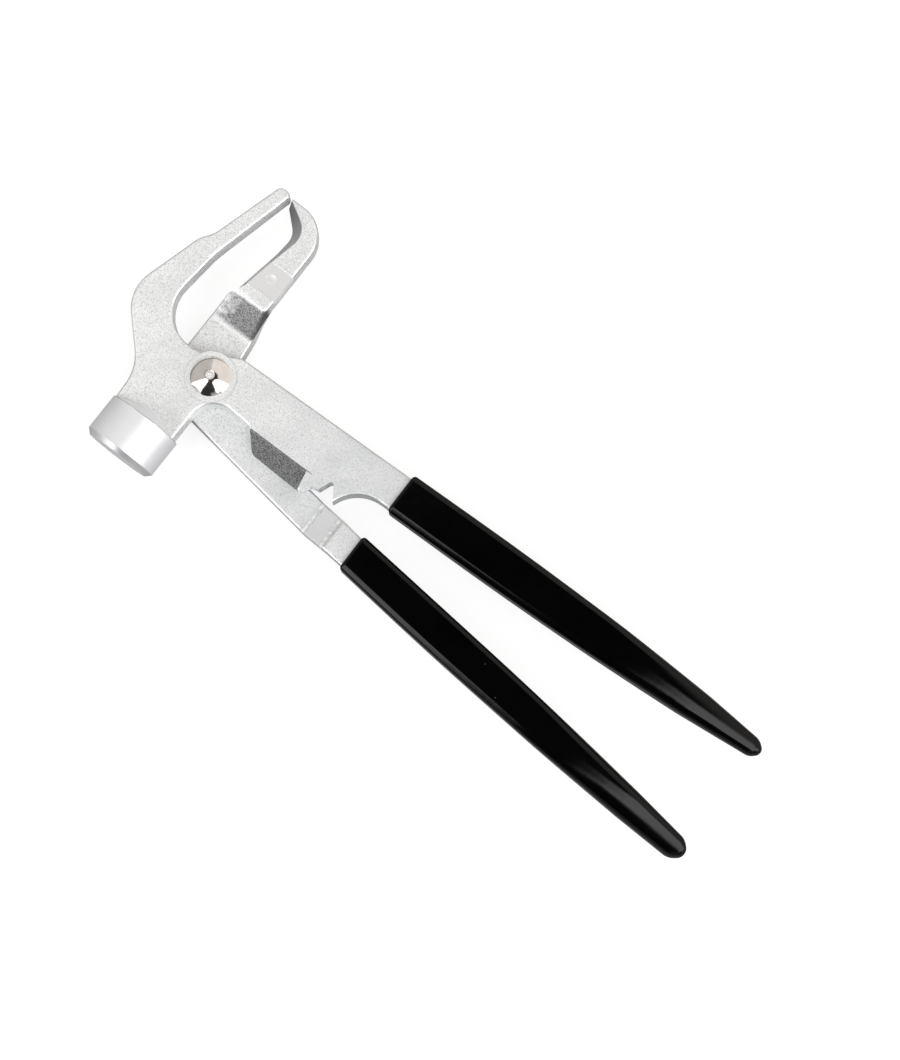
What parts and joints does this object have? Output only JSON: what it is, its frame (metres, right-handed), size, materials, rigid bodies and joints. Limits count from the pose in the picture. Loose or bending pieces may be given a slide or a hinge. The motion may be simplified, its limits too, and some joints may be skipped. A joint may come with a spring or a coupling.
{
  "type": "wheel weight hammer pliers",
  "caption": "Lap-joint pliers for wheel balancing weights: straight nose and hooked beak, hammer head, cutter blade, claw notch and black dipped grips.",
  "frame": {"origin": "bottom centre of the tool's box, with the rivet upright and its domed head on top", "axes": "+X along the front lever's arm from the rivet to the handles, +Y from the rivet to the jaws, +Z along the rivet to its domed head"},
  "size_m": [0.2428, 0.0996, 0.0246],
  "materials": {
    "zinc_forging": "satin zinc plating over a forged and tumbled skin",
    "nickel_rivet": "mirror nickel plating",
    "dipped_grip": "glossy dipped vinyl"
  },
  "bodies": {
    "front_half": {"front_lever": "zinc_forging", "front_grip": "dipped_grip", "pivot_rivet": "nickel_rivet"},
    "back_half": {"back_lever": "zinc_forging", "back_grip": "dipped_grip"}
  },
  "joints": [
    {"name": "handle_opening", "type": "hinge", "parent": "front_half", "child": "back_half", "pos_m": [-0.0844, -0.0128, 0.0091], "axis": [0, 0, -1], "range_deg": [0, 36]}
  ]
}
